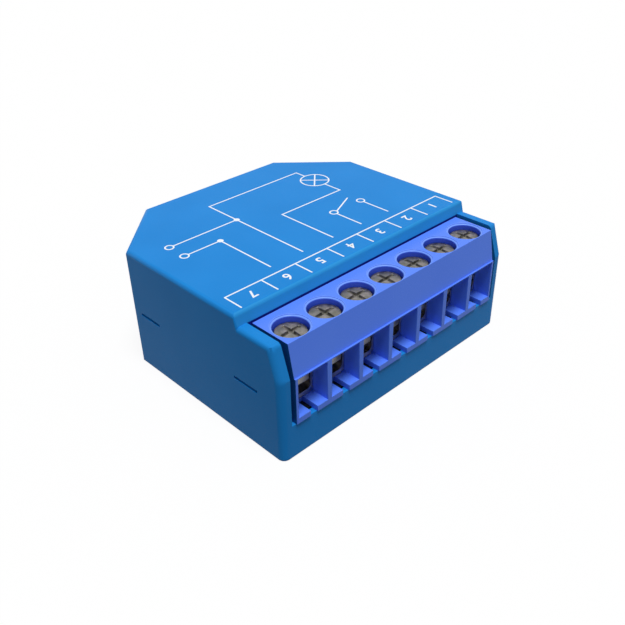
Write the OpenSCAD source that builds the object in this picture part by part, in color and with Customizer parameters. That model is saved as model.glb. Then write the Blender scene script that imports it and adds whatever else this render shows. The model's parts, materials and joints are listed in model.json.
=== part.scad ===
// Small in-wall smart relay module: a blue case with a row of seven screw clamps along the front.
// The row of terminals runs along X, the wires come in along +Y, and the base lies on Z = 0.

/* [Terminal row] */
// Number of terminals
poles = 7; // [7:1:10]
// Distance between neighbouring terminals
pole_pitch = 5.26; // [5.2:0.02:6.4]
// Thickness of the wall between two wire cells
partition_t = 0.7; // [0.5:0.05:0.9]
// Depth of the terminal block
block_d = 6.8; // [6.6:0.1:8.0]
// How far the block stands in front of the case
block_proud = 0.2; // [0.1:0.05:0.4]
// How far the block's sloping front leans back at its top
block_lean = 0.97; // [0.5:0.01:1.2]
// Depth of the narrow ledge at the foot of that slope
ledge_d = 0.22; // [0.1:0.01:0.3]
// Height of that ledge above the wire windows
ledge_h = 0.12; // [0.08:0.01:0.2]
// Thickness of the block's floor
floor_t = 0.8; // [0.5:0.05:1.0]
// Height of a wire window above the floor
window_h = 5.4; // [5.0:0.1:6.2]
// Width of the slot in each cell's floor
slot_w = 1.1; // [0.8:0.1:1.6]
// How far a slot's middle lies to the right of its cell's middle
slot_shift = 0.1; // [0:0.05:0.3]
// Length of the slot in each cell's floor
slot_l = 2.7; // [2.2:0.1:2.8]
// Height of a wire's throat above the floor, behind the window
throat_h = 4.5; // [4.2:0.1:4.8]
// Depth of the window in front of the throat
throat_in = 0.9; // [0.6:0.1:1.0]
// Thickness of the seat that a screw head turns on
seat_t = 1.2; // [0.8:0.05:1.6]
// Rounding of a screw well's rim
rim_r = 0.25; // [0.15:0.05:0.3]
// Drop from the block's top to the rounding of a well's rim
rim_step = 0.08; // [0.04:0.01:0.15]

/* [Screw clamps] */
// Radius of a screw head
head_r = 1.95; // [1.7:0.05:2.0]
// Height of a screw head
head_h = 1.5; // [1.2:0.1:2.0]
// Drop from the crown of a screw head to its edge
head_dome = 0.1; // [0.05:0.05:0.3]
// How far a screw head sits below the block's top
head_sink = 0.7; // [0.4:0.1:1.2]
// Radius of a screw shank
shank_r = 1; // [0.8:0.05:1.0]
// Width of one arm of the cross recess
recess_w = 0.45; // [0.3:0.05:0.6]
// Length of the cross recess from end to end
recess_l = 2.9; // [2.0:0.1:3.1]
// Depth of the cross recess
recess_d = 0.6; // [0.4:0.1:0.9]
// Angle of the cross recess with the clamps open
recess_turn = 0; // [0:5:85]
// Depth of a clamp cage along the wire
cage_d = 2.6; // [2.6:0.1:3.2]
// How far a cage's lower frame stands behind the front of its threaded top
cage_set = 0.35; // [0.2:0.05:0.5]
// Thickness of a cage's side walls
cage_wall = 0.3; // [0.25:0.05:0.5]
// Inner radius of a cage's lower corners
cage_bend = 0.6; // [0.3:0.05:0.7]
// Thickness of a cage's floor
cage_floor_t = 0.65; // [0.5:0.05:0.9]
// Thickness of a cage's threaded top
cage_top_t = 1.5; // [1.0:0.1:2.2]
// Height of the open wire gap
wire_gap = 1.55; // [1.3:0.05:1.9]
// Thickness of a contact bar
bar_t = 0.8; // [0.6:0.1:1.0]
// Radius of a contact bar's solder pin
pin_r = 0.5; // [0.4:0.05:0.6]

/* [Case] */
// Thickness of the side and back walls
wall = 1.5; // [1.4:0.1:2.0]
// Thickness of the front wall below the terminals
sill_t = 0.8; // [0.7:0.1:1.3]
// Thickness of the roof
roof_t = 1.4; // [1.0:0.1:2.0]
// Thickness of the wall behind the terminal block
web_t = 1.2; // [0.8:0.1:1.6]
// Depth of the room behind that wall
room_d = 27.6; // [27:0.2:34]
// Size of the cut across each back corner
corner_cut = 8.7; // [6:0.1:9]
// Radius of the front upright corners
corner_r = 0.9; // [0.6:0.1:1.6]
// Rounding of the roof's edges
edge_r = 0.6; // [0.4:0.1:1.0]
// Rounding of the edges of the two shoulders beside the block
shoulder_r = 0.6; // [0.3:0.05:0.7]
// How far the shoulders stand above the block
shoulder_rise = 0.2; // [0:0.05:0.4]
// How far above the wire windows the shoulders' fronts begin to slope
knee_rise = 0.3; // [0:0.05:0.6]
// How far the shoulders' sloping fronts lean back
shoulder_lean = 1.3; // [0.8:0.1:1.8]
// How far the step up to the roof leans back
step_lean = 0.4; // [0.1:0.05:0.5]
// Radius of the upright corners at the ends of that step
step_r = 0.3; // [0.2:0.05:0.6]
// Length of a snap slit
slit_l = 4.1; // [3:0.1:5]
// Height of a snap slit
slit_h = 0.4; // [0.35:0.05:0.6]
// Height of the snap slits above the base
slit_z = 8.2; // [7:0.1:9]
// Distance from the case's front to the middle of the front slits
slit_front = 6; // [5.5:0.1:7]
// Distance from the case's back to the middle of the rear slits
slit_rear = 12.2; // [11.8:0.1:14]

/* [Base and board] */
// Thickness of the base plate
base_t = 1.4; // [1.2:0.1:1.8]
// Height of the room under the board
under_h = 1.7; // [1.6:0.1:2.2]
// Thickness of the circuit board
board_t = 1.6; // [1.2:0.1:2.0]
// Thickness of a snap arm
arm_t = 0.9; // [0.8:0.05:1.0]
// Depth of a snap arm's pocket in the case wall
pocket_d = 0.7; // [0.6:0.05:0.8]
// Reach of a snap arm's barb
barb_d = 0.5; // [0.3:0.05:0.6]
// Radius of a board post
post_r = 1.4; // [1.2:0.1:1.8]
// Radius of the locating pin on a board post
peg_r = 0.7; // [0.5:0.05:0.9]
// Radius of the hole over the reset button
reset_hole_r = 1.25; // [1.1:0.05:1.6]
// Radius of the reset button
reset_r = 0.9; // [0.7:0.05:1.0]
// Travel of the reset button
reset_travel = 0.25; // [0.15:0.05:0.3]
// Distance from the case's middle to the reset button
reset_x = 8; // [7:0.5:9]
// Distance from the case's back to the reset button
reset_back = 9; // [8.5:0.5:10]

/* [Relay] */
// Length of the relay
relay_l = 16; // [15.8:0.2:18]
// Depth of the relay
relay_d = 10.4; // [9.4:0.2:11]
// Height of the relay
relay_h = 10.4; // [10.2:0.1:12]
// Distance of the relay's middle to the left of the case's middle
relay_shift = 2; // [1:0.5:3]
// Thickness of the relay's cover
cover_t = 0.6; // [0.5:0.1:0.8]
// Thickness of the relay's base
relay_base_t = 1; // [0.8:0.1:1.2]
// Outer radius of the coil winding
coil_r = 2.9; // [2.4:0.1:3.0]
// Radius of the coil core
core_r = 1.4; // [1.0:0.1:1.6]
// Thickness of the yoke and the armature
iron_t = 0.9; // [0.7:0.1:1.0]
// Angle that the armature swings
swing = 4; // [2:0.5:4]
// Radius of a relay contact
contact_r = 0.55; // [0.4:0.05:0.55]

/* [Electronics] */
// Radius of a storage capacitor
cap_r = 3; // [2.5:0.1:3.1]
// Height of a storage capacitor
cap_h = 9.5; // [7:0.5:10]
// Radius of the surge disc
varistor_r = 3.6; // [3:0.1:3.8]
// Thickness of the surge disc
varistor_t = 3.2; // [2.5:0.1:3.6]
// Radius of the choke
choke_r = 2.8; // [2.2:0.1:3]
// Height of the choke
choke_h = 7; // [5:0.5:9]
// Length of the fuse resistor
fuse_l = 8; // [6:0.5:8.5]
// Radius of the fuse resistor
fuse_r = 1.4; // [1:0.1:1.6]
// Width of the radio board
radio_w = 16; // [14:0.5:18]
// Height of the radio board
radio_h = 9.6; // [9:0.2:10]
// Thickness of the radio board
radio_t = 0.8; // [0.6:0.1:1.2]
// Width of the radio chip
radio_chip_w = 5; // [4:0.1:5.2]
// Height of the radio chip
radio_chip_h = 3.6; // [3:0.1:4]
// Width of the crystal
crystal_w = 2.5; // [2:0.1:3.2]
// Height of the crystal
crystal_h = 2; // [1.6:0.1:2.5]
// Width of the memory chip
memory_w = 4; // [3:0.1:5]
// Height of the memory chip
memory_h = 3.2; // [2.5:0.1:3.6]
// Thickness of the chips on the radio board
chip_t = 0.9; // [0.7:0.1:1.0]
// Length, depth and height of the rectifier
rectifier_size = [4.7, 3.9, 1.6];
// Length, depth and height of the converter chip
converter_size = [4.9, 3.9, 1.5];
// Length, depth and height of the optocoupler
optocoupler_size = [6.5, 4.4, 2.2];
// Length, depth and height of the switching transistor
transistor_size = [6.5, 5, 2.3];
// Length, depth and height of a small chip part
chip_part_size = [1.2, 2, 0.6];

/* [Fits] */
// Gap between the block and each side wall
side_gap = 0.59; // [0.4:0.01:0.7]
// Gap between the block and the wall behind it
back_gap = 0.25; // [0.1:0.05:0.4]
// Gap between a cage and each side of its cell
cage_gap = 0.1; // [0.1:0.05:0.25]
// Gap between a cage and the ends of its cavity
cage_end_gap = 0.15; // [0.1:0.05:0.2]
// Gap left between a cage's floor and the contact bar when the clamp is shut
shut_gap = 0.1; // [0.05:0.05:0.2]
// Gap between stacked parts of a clamp
stack_gap = 0.15; // [0.1:0.05:0.2]
// Gap under a part that rests on a seat
seat_gap = 0.05; // [0.02:0.01:0.1]
// Gap round a turning or sliding shaft
run_gap = 0.05; // [0.02:0.01:0.1]
// Gap between a screw head and its well
well_gap = 0.15; // [0.1:0.05:0.25]
// Gap round a lead, a pin or a leg in its hole
lead_gap = 0.1; // [0.05:0.05:0.2]
// Gap round the base plate and the snap arms
base_gap = 0.1; // [0.05:0.05:0.2]
// Gap between the board and the snap arms
board_gap = 0.3; // [0.2:0.05:0.5]
// Gap between the relay and the roof
roof_gap = 0.5; // [0.3:0.1:1]
// Gap between neighbouring parts on the boards
part_gap = 0.5; // [0.4:0.1:0.6]
// Gap between the wall behind the terminals and the parts next to it
wall_gap = 0.9; // [0.6:0.1:1.0]
// Gap between the fixed contact and the pole plate above it
contact_gap = 0.2; // [0.15:0.05:0.3]

/* [Hidden] */
$fn = 64;

// Colours of the materials
case_blue = "#2b8ee0";
block_blue = "#6086f0";
steel = "#9a9894";
tin = "#c9c7c0";
copper = "#b4693a";
board_green = "#14402c";
black_resin = "#1d1e20";
cream = "#e6dfc8";

// Cutting tools pass a little beyond the face that they cut
over = 1;
corner_growth = 0.02;

// Widths
block_w = poles * pole_pitch;
bay_w = block_w + 2 * side_gap;
case_w = bay_w + 2 * wall;
cell_w = pole_pitch - partition_t;
cage_w = cell_w - 2 * cage_gap;
cage_inner_w = cage_w - 2 * cage_wall;
bar_side_gap = 0.4;
bar_w = cage_inner_w - 2 * bar_side_gap;
well_r = head_r + well_gap;

// Depths, from the front of the block to the back of the case
case_d = block_d - block_proud + back_gap + web_t + room_d + wall;
y_back = (case_d + block_proud) / 2;
y_case = y_back - case_d;
y_block = -y_back;
y_screw = y_block + block_d / 2;
y_block_back = y_block + block_d;
y_bay = y_block_back + back_gap;
y_room = y_bay + web_t;
y_cavity = y_screw - cage_d / 2 - cage_end_gap;
y_cavity_back = y_screw + cage_d / 2 + cage_end_gap;
y_leg = y_cavity_back + stack_gap;
y_pin = y_leg + bar_t / 2;

// Heights, stacked up from the base
z_board = base_t + under_h;
z_board_top = z_board + board_t;
z_floor = z_board_top + floor_t;
z_cage = z_floor + seat_gap;
z_wire = z_cage + cage_floor_t;
z_bar = z_wire + wire_gap;
z_bar_top = z_bar + bar_t;
z_cage_top = z_bar_top + stack_gap;
cage_h = z_cage_top + cage_top_t - z_cage;
cage_head_room = 0.2;
cage_lift = wire_gap - shut_gap;
z_ceiling = z_cage_top + cage_top_t + cage_lift + cage_head_room;
z_seat = z_ceiling + seat_t;
z_head = z_seat + seat_gap;
z_head_top = z_head + head_h;
z_block = z_head_top + head_sink;
z_window = z_floor + window_h;
z_throat = z_floor + throat_h;
z_knee = z_window + knee_rise;
z_shoulder = z_block + shoulder_rise;
least_step = 1;
case_h = max(z_board_top + relay_h + roof_gap + roof_t, z_shoulder + least_step);
z_roof = case_h - roof_t;

// Snap arms and their slits
arm_x = bay_w / 2 + pocket_d - base_gap / 2;
arm_w = slit_l;
pocket_w = arm_w + 4 * base_gap;
barb_h = slit_h - base_gap;
z_arm_top = slit_z + slit_h;
slit_ys = [y_case + slit_front, y_back - slit_rear];

// Outlines inside the walls
board_inset = case_w / 2 - arm_x + arm_t + board_gap;
y_board = y_case + sill_t + board_gap;
y_board_back = y_back - board_inset;
web_gap = 0.5;

// Places of the board posts
post_x = 2.5 * pole_pitch;
post_back_x = 13.5;
post_back = 10.5;
posts = [
    for (s = [-1, 1]) [s * post_x, y_screw + cage_d / 4],
    for (s = [-1, 1]) [s * post_back_x, y_back - post_back]
];
peg_l = board_t * 0.7;

// Leads through the board
lead_r = 0.3;
lead_end = 0.8;
z_lead = z_board - lead_end;

// Radio board
y_radio = y_board_back - lead_gap * 2 - radio_t;
trace_t = 0.1;
trace_w = 0.4;
link_count = 6;
link_pitch = 2;
link_h = 4 * lead_r;
y_link = y_radio - lead_r;
radio_edge = 0.6;
radio_row_w = radio_chip_w + crystal_w + memory_w + 2 * part_gap;
z_radio_row = z_board_top + link_h + part_gap;
z_trace = z_radio_row + max(radio_chip_h, crystal_h, memory_h) + part_gap;
z_trace_top = z_board_top + radio_h - radio_edge;

// Relay, with its parts placed from its left end and its base
relay_gap = 0.4;
relay_x = -relay_shift;
relay_left = relay_x - relay_l / 2;
relay_y = y_radio - chip_t - relay_gap - relay_d / 2;
z_relay = z_board_top + relay_base_t;
z_cover = z_board_top + relay_h - cover_t;
x_yoke = relay_left + cover_t + 2 * lead_gap;
x_coil = x_yoke + iron_t;
flange_t = 0.7;
yoke_roof_gap = 0.4;
yoke_w = 6;
z_yoke = z_cover - yoke_roof_gap - iron_t;
z_pivot = z_yoke + iron_t / 2;
z_coil = z_relay + coil_r + (z_yoke - z_relay - 2 * coil_r) / 2;
flange_h = z_yoke - seat_gap - z_relay;
flange_w = 2 * coil_r + 0.6;
blade_t = 0.25;
blade_w = 3;
pole_t = 0.6;
// Room kept at the right end for the armature's swing
swing_room = 0.7;
x_armature = relay_left + relay_l - cover_t - swing_room - blade_t - iron_t;
pole_gap = 0.05;
x_pole = x_armature - pole_gap;
x_flange = x_pole - pole_t - seat_gap - flange_t;
x_pivot = x_armature + iron_t / 6;
z_contact = z_relay + contact_r + 0.15;
pole_r = z_coil - z_contact - contact_r - contact_gap;
z_armature = z_contact + contact_r + 0.5;
strip_t = 0.35;
x_fixed = x_pole - pole_t + strip_t;
coil_pin_y = 2.4;

// Other parts, placed from the wall behind the terminals
side_x = case_w / 2 - board_inset - lead_gap * 2;
cap_x = side_x - cap_r;
cap_ys = [y_room + wall_gap + cap_r, y_room + wall_gap + 2 * part_gap + 3 * cap_r];
cap_lead_x = 1.25;
choke_x = -side_x + choke_r;
choke_y = y_room + wall_gap + choke_r;
choke_lead_x = 1.2;
choke_flange_t = 1;
choke_post_r = choke_r * 0.4;
choke_wire_r = choke_r * 0.85;
varistor_x = -side_x + varistor_r;
varistor_y = choke_y + choke_r + 4 * part_gap + varistor_t / 2;
varistor_lift = 0.6;
varistor_lead_x = 2.5;
fuse_x = -4;
fuse_y = y_room + wall_gap + fuse_r;
fuse_lift = 0.4;
fuse_reach = 1.2;
front_chip_y = y_room + wall_gap + optocoupler_size[1] / 2;
mid_chip_y = fuse_y + fuse_r + 3 * part_gap + rectifier_size[1] / 2;
back_chip_y = mid_chip_y + (rectifier_size[1] + chip_part_size[1]) / 2 + part_gap;
chip_part_count = 6;
chip_part_step = chip_part_size[0] + 2 * part_gap;
chip_row_x = -0.5;
rectifier_x = chip_row_x - (rectifier_size[0] + converter_size[0]) / 2 - 2 * part_gap;
transistor_x = chip_row_x + (transistor_size[0] + converter_size[0]) / 2 + 2 * part_gap;
transistor_y = front_chip_y + (optocoupler_size[1] + transistor_size[1]) / 2 + part_gap;
chip_part_x = rectifier_x - rectifier_size[0] / 2;

// Leads that pass through the board, one list for each part that has them
cap_leads = [for (y = cap_ys, s = [-1, 1]) [cap_x + s * cap_lead_x, y]];
choke_leads = [for (s = [-1, 1]) [choke_x + s * choke_lead_x, choke_y]];
varistor_leads = [for (s = [-1, 1]) [varistor_x + s * varistor_lead_x, varistor_y]];
fuse_leads = [for (s = [-1, 1]) [fuse_x + s * (fuse_l / 2 + fuse_reach), fuse_y]];
coil_leads = [for (s = [-1, 1]) [x_coil + 1.5 * lead_r, relay_y + s * coil_pin_y]];
link_leads = [for (i = [1 : link_count]) [(i - (link_count + 1) / 2) * link_pitch, y_link]];
leads = concat(cap_leads, choke_leads, varistor_leads, fuse_leads, coil_leads, link_leads);
relay_legs = [[x_yoke + iron_t / 2, relay_y], [x_fixed - strip_t / 2, relay_y]];
relay_leg_w = 1;

// Reset button, upside down under the board
reset_y = y_back - reset_back;
reset_body_w = 4.2;
reset_body_d = 3.4;
reset_body_h = 1;
reset_ledge_t = 0.15;
reset_rim = 0.3;
reset_rim_t = 0.3;
dome_t = 0.1;
reset_recess = 0.4;
z_reset = z_board - reset_body_h;
z_reset_rim = z_reset + reset_ledge_t + seat_gap;

function pole_x(i) = (i - (poles + 1) / 2) * pole_pitch;

// A profile drawn in Y and Z, swept along X about the middle
module along_x(length) {
    rotate([90, 0, 90])
        linear_extrude(length, center = true)
            children();
}

// A profile drawn in X and Z, swept along Y from one place to another
module along_y(from, to) {
    translate([0, to, 0])
        rotate([90, 0, 0])
            linear_extrude(to - from)
                children();
}

// A box given by its two opposite corners
module box(low, high) {
    translate(low)
        cube(high - low);
}

// An upright rectangle with rounded top corners
module round_top(width, height, r) {
    translate([-width / 2, 0])
        square([width, height - r]);
    translate([r - width / 2, 0])
        square([width - 2 * r, height]);
    for (s = [-1, 1])
        translate([s * (width / 2 - r), height - r])
            circle(r);
}

// An upright rectangle between two heights, with rounded bottom corners
module round_bottom(width, low, high, r) {
    translate([0, high])
        scale([1, -1])
            round_top(width, high - low, r);
}

// The case's outline seen from above, drawn in from its faces, with its back corners cut
module plan(inset, front) {
    half = case_w / 2 - inset;
    back = y_back - inset;
    cut = corner_cut - inset * (2 - sqrt(2));
    polygon([
        [-half, front],
        [half, front],
        [half, back - cut],
        [half - cut, back],
        [cut - half, back],
        [-half, back - cut]
    ]);
}

// A strip that runs far back from some front line, larger all round than the case by some growth,
// with its front corners rounded
module round_front(front, r, growth) {
    difference() {
        translate([-case_w / 2 - growth, front - growth])
            square([case_w + 2 * growth, 2 * case_d]);
        for (s = [-1, 1])
            translate([s * (case_w / 2 - r), front + r])
                difference() {
                    translate([s > 0 ? 0 : -r - over, -r - over])
                        square(r + over);
                    circle(r + growth);
                }
    }
}

// That strip swept along a line that leans back and crosses the front line at some height, a little larger
// than the case so that only its rounded corners cut
module leaning_prism(front, height, lean, r) {
    reach = 2 * case_h;
    translate([0, front, height])
        rotate([-lean, 0, 0])
            translate([0, -front, -reach])
                linear_extrude(2 * reach)
                    round_front(front, r, corner_growth);
}

// The part of the case under the high roof
module high_body() {
    intersection() {
        linear_extrude(case_h)
            plan(0, y_bay);
        leaning_prism(y_bay, z_shoulder, atan(step_lean / (case_h - z_shoulder)), step_r);
        along_y(y_bay, y_back)
            round_top(case_w, case_h, edge_r);
        along_x(case_w + over)
            step_profile();
        cut_corner_slab(1);
        cut_corner_slab(-1);
    }
}

// The high body seen from the side: a step that leans back and rounds over into the roof
module step_profile() {
    rise = case_h - z_shoulder;
    lean = atan(step_lean / rise);
    z = case_h - edge_r;
    y = y_bay + step_lean * (z - z_shoulder) / rise + edge_r / cos(lean);
    polygon([
        [y_bay, 0],
        [y_bay, z_shoulder],
        [y - edge_r * cos(lean), z + edge_r * sin(lean)],
        [y, case_h],
        [y_back - edge_r, case_h],
        [y_back, z],
        [y_back, 0]
    ]);
    translate([y, z])
        circle(edge_r);
    translate([y_back - edge_r, z])
        circle(edge_r);
}

// An upright slab whose far top edge rounds off one cut corner
module cut_corner_slab(side) {
    reach = (case_w / 2 + y_back - corner_cut) / sqrt(2);
    rotate([0, 0, -45 * side])
        along_x(3 * case_w)
            translate([-reach, 0])
                round_top(4 * reach, case_h, edge_r);
}

// The lower front part, with the two shoulders beside the block
module front_body() {
    intersection() {
        linear_extrude(case_h)
            round_front(y_case, corner_r, 0);
        along_y(y_case - over, y_room)
            round_top(case_w, z_shoulder, shoulder_r);
        leaning_prism(y_case, z_knee, atan(shoulder_lean / (z_shoulder - z_knee)), corner_r);
        along_x(case_w + over)
            shoulder_profile();
    }
}

// The lower front part seen from the side: an upright wall, then a slope that rounds over into the shoulders
module shoulder_profile() {
    rise = z_shoulder - z_knee;
    lean = atan(shoulder_lean / rise);
    z = z_shoulder - shoulder_r;
    y = y_case + shoulder_lean * (z - z_knee) / rise + shoulder_r / cos(lean);
    polygon([
        [y_case, 0],
        [y_case, z_knee],
        [y - shoulder_r * cos(lean), z + shoulder_r * sin(lean)],
        [y, z_shoulder],
        [y_room, z_shoulder],
        [y_room, 0]
    ]);
    translate([y, z])
        circle(shoulder_r);
}

module upper_case() {
    inner = bay_w / 2;
    color(case_blue)
        difference() {
            union() {
                high_body();
                front_body();
            }
            translate([0, 0, -over])
                linear_extrude(z_roof + over)
                    plan(wall, y_room);
            box([-inner, y_case + sill_t, -over], [inner, y_bay, z_board_top + over]);
            box([-inner, y_bay - over, -over], [inner, y_room + over, z_board_top + web_gap]);
            box([-inner, y_case - over, z_board_top], [inner, y_bay, case_h + over]);
            for (s = [-1, 1], y = slit_ys)
                translate([s * inner, y, 0])
                    arm_room(s);
        }
}

// A snap arm's pocket, and the slit above it that its barb catches in
module arm_room(side) {
    scale([side, 1, 1]) {
        box([-over, -pocket_w / 2, -over], [pocket_d, pocket_w / 2, z_arm_top + base_gap]);
        box([0, -slit_l / 2, slit_z - slit_h / 2], [wall + over, slit_l / 2, slit_z + slit_h / 2]);
    }
}

module base_cover() {
    color(case_blue)
        difference() {
            union() {
                linear_extrude(base_t)
                    plan(wall + base_gap, y_case + sill_t + base_gap);
                for (s = [-1, 1], y = slit_ys)
                    translate([0, y, 0])
                        snap_arm(s);
                for (p = posts)
                    translate([p[0], p[1], 0]) {
                        cylinder(h = z_board, r = post_r);
                        cylinder(h = z_board + peg_l, r = peg_r);
                    }
            }
            translate([reset_x, reset_y, -over])
                cylinder(h = base_t + 2 * over, r = reset_hole_r);
        }
}

module snap_arm(side) {
    root = 2 * arm_t;
    scale([side, 1, 1]) {
        box([arm_x - arm_t, -arm_w / 2, 0], [arm_x, arm_w / 2, z_arm_top]);
        box([arm_x - root, -arm_w / 2, 0], [arm_x, arm_w / 2, base_t]);
        box(
            [arm_x - arm_t, -arm_w / 2 + base_gap, slit_z - barb_h / 2],
            [arm_x + barb_d, arm_w / 2 - base_gap, slit_z + barb_h / 2]
        );
    }
}

module terminal_block() {
    color(block_blue)
        difference() {
            along_x(block_w)
                polygon([
                    [y_block, z_board_top],
                    [y_block, z_window + ledge_h],
                    [y_block + ledge_d, z_window + ledge_h],
                    [y_block + block_lean, z_block],
                    [y_block_back, z_block],
                    [y_block_back, z_board_top]
                ]);
            for (i = [1 : poles])
                translate([pole_x(i), 0, 0])
                    cell();
        }
}

// What one terminal takes out of the block: window, throat, cage room, slot, leg passage and screw well
module cell() {
    half = cell_w / 2;
    leg = bar_w / 2 + lead_gap;
    box([-half, y_block - over, z_floor], [half, y_block + throat_in, z_window]);
    box([-half, y_block, z_floor], [half, y_cavity_back, z_throat]);
    box([-half, y_cavity, z_floor], [half, y_cavity_back, z_ceiling]);
    translate([slot_shift, 0, 0])
        box([-slot_w / 2, y_block - over, z_board_top - over], [slot_w / 2, y_block + slot_l, z_floor + over]);
    box([-leg, y_cavity_back - over, z_board_top - over], [leg, y_leg + bar_t + lead_gap, z_bar_top + stack_gap]);
    translate([0, y_screw, z_ceiling - over])
        cylinder(h = seat_t + 2 * over, r = shank_r + run_gap);
    translate([0, y_screw, z_seat])
        cylinder(h = z_block, r = well_r);
    translate([0, y_screw, z_block])
        rotate_extrude()
            translate([well_r, -rim_r - rim_step])
                difference() {
                    translate([-rim_r, 0])
                        square([2 * rim_r, rim_r + rim_step + over]);
                    translate([rim_r, 0])
                        circle(rim_r);
                }
}

module terminal_screw(i) {
    crown_r = (head_r * head_r + head_dome * head_dome) / (2 * head_dome);
    color(steel)
        translate([pole_x(i), y_screw, 0])
            difference() {
                union() {
                    intersection() {
                        translate([0, 0, z_head])
                            cylinder(h = head_h, r = head_r);
                        translate([0, 0, z_head_top - crown_r])
                            sphere(crown_r);
                    }
                    translate([0, 0, z_bar_top + seat_gap])
                        cylinder(h = z_head + head_h / 4 - z_bar_top - seat_gap, r = shank_r);
                }
                for (a = [0, 90])
                    translate([0, 0, z_head_top - recess_d])
                        rotate([0, 0, recess_turn + a])
                            translate([-recess_l / 2, -recess_w / 2, 0])
                                cube([recess_l, recess_w, recess_d + over]);
            }
}

module clamp_cage(i) {
    color(tin)
        translate([pole_x(i), y_screw, 0])
            difference() {
                union() {
                    box([-cage_w / 2, -cage_d / 2, z_cage_top], [cage_w / 2, cage_d / 2, z_cage + cage_h]);
                    along_y(cage_set - cage_d / 2, cage_d / 2)
                        round_bottom(cage_w, z_cage, z_cage + cage_h, cage_bend);
                }
                along_y(-cage_d, cage_d)
                    round_bottom(cage_inner_w, z_wire, z_cage_top, cage_bend);
                translate([0, 0, z_wire])
                    cylinder(h = cage_h, r = shank_r + run_gap);
            }
}

module contact_bar(i) {
    half = bar_w / 2;
    color(tin)
        translate([pole_x(i), 0, 0]) {
            box([-half, y_cavity + 2 * cage_end_gap, z_bar], [half, y_leg + bar_t, z_bar_top]);
            box([-half, y_leg, z_floor], [half, y_leg + bar_t, z_bar_top]);
            translate([0, y_pin, z_lead])
                cylinder(h = z_floor - z_lead + bar_t, r = min(pin_r, bar_t / 2));
        }
}

module main_board() {
    color(board_green)
        difference() {
            translate([0, 0, z_board])
                linear_extrude(board_t)
                    plan(board_inset, y_board);
            for (i = [1 : poles])
                board_hole([pole_x(i), y_pin], pin_r + lead_gap);
            for (p = leads)
                board_hole(p, lead_r + lead_gap);
            for (p = relay_legs)
                board_hole(p, relay_leg_w / 2 * sqrt(2) + lead_gap);
            for (p = posts)
                board_hole(p, peg_r + lead_gap);
        }
}

module board_hole(p, r) {
    translate([p[0], p[1], z_board - over])
        cylinder(h = board_t + 2 * over, r = r);
}

// A round lead from inside a part down through the board
module lead(p, top) {
    translate([p[0], p[1], z_lead])
        cylinder(h = top - z_lead, r = lead_r);
}

// A box about a point on the relay's long middle line
module relay_box(x_low, x_high, width, z_low, z_high) {
    box([x_low, relay_y - width / 2, z_low], [x_high, relay_y + width / 2, z_high]);
}

// A cylinder along X on the relay's long middle line
module relay_rod(x_low, x_high, z, r) {
    translate([x_low, relay_y, z])
        rotate([0, 90, 0])
            cylinder(h = x_high - x_low, r = r);
}

module relay_base() {
    inset = cover_t + lead_gap;
    color(black_resin)
        difference() {
            relay_box(
                relay_left + inset, relay_left + relay_l - inset, relay_d - 2 * inset, z_board_top, z_relay
            );
            for (p = relay_legs)
                translate([p[0], p[1], z_board_top - over])
                    cylinder(h = relay_base_t + 2 * over, r = relay_leg_w / 2 * sqrt(2) + lead_gap);
            for (p = coil_leads)
                translate([p[0], p[1], z_board_top - over])
                    cylinder(h = relay_base_t + 2 * over, r = lead_r + lead_gap);
        }
}

module relay_cover() {
    color(black_resin)
        difference() {
            relay_box(relay_left, relay_left + relay_l, relay_d, z_board_top, z_board_top + relay_h);
            relay_box(
                relay_left + cover_t, relay_left + relay_l - cover_t, relay_d - 2 * cover_t,
                z_board_top - over, z_cover
            );
        }
}

module coil_bobbin() {
    tube_r = core_r + run_gap + 0.35;
    color(cream)
        difference() {
            union() {
                relay_box(x_coil, x_coil + flange_t, flange_w, z_relay, z_relay + flange_h);
                relay_box(x_flange, x_flange + flange_t, flange_w, z_relay, z_relay + flange_h);
                relay_rod(x_coil, x_flange + flange_t, z_coil, tube_r);
            }
            relay_rod(x_coil - over, x_flange + flange_t + over, z_coil, core_r + run_gap);
        }
}

module coil_winding() {
    tube_r = core_r + run_gap + 0.35;
    color(copper)
        difference() {
            relay_rod(x_coil + flange_t + seat_gap, x_flange - seat_gap, z_coil, coil_r);
            relay_rod(x_coil, x_flange + flange_t, z_coil, tube_r + run_gap);
        }
}

module coil_core() {
    color(steel) {
        relay_rod(x_coil, x_pole, z_coil, core_r);
        relay_rod(x_pole - pole_t, x_pole, z_coil, pole_r);
    }
}

module coil_pins() {
    color(tin)
        for (p = coil_leads)
            lead(p, z_relay);
}

// An L of iron: an upright plate behind the coil and an arm over it, with a round nose to hinge on
module relay_yoke() {
    color(steel) {
        relay_box(x_yoke, x_coil, yoke_w, z_relay, z_yoke + iron_t);
        relay_box(x_yoke, x_pivot, yoke_w, z_yoke, z_yoke + iron_t);
        translate([x_pivot, relay_y + yoke_w / 2, z_pivot])
            rotate([90, 0, 0])
                cylinder(h = yoke_w, r = iron_t / 2);
        relay_box(x_yoke, x_coil, relay_leg_w, z_lead, z_relay);
    }
}

// What swings is drawn shut against the pole and then turned open about the yoke's nose
module swung_open() {
    translate([x_pivot, relay_y, z_pivot])
        rotate([0, -swing, 0])
            translate([-x_pivot, -relay_y, -z_pivot])
                children();
}

module relay_armature() {
    color(steel)
        swung_open()
            difference() {
                relay_box(x_armature, x_armature + iron_t, yoke_w, z_armature, z_pivot + iron_t / 2);
                translate([x_pivot, relay_y + yoke_w, z_pivot])
                    rotate([90, 0, 0])
                        cylinder(h = 2 * yoke_w, r = iron_t / 2 + run_gap);
            }
}

module contact_blade() {
    x = x_armature + iron_t;
    color(copper)
        swung_open()
            relay_box(x, x + blade_t, blade_w, z_contact - contact_r, z_pivot - iron_t);
}

module moving_contact() {
    x = x_armature + iron_t;
    color(tin)
        swung_open()
            relay_rod(x_armature, x, z_contact, contact_r);
}

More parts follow.
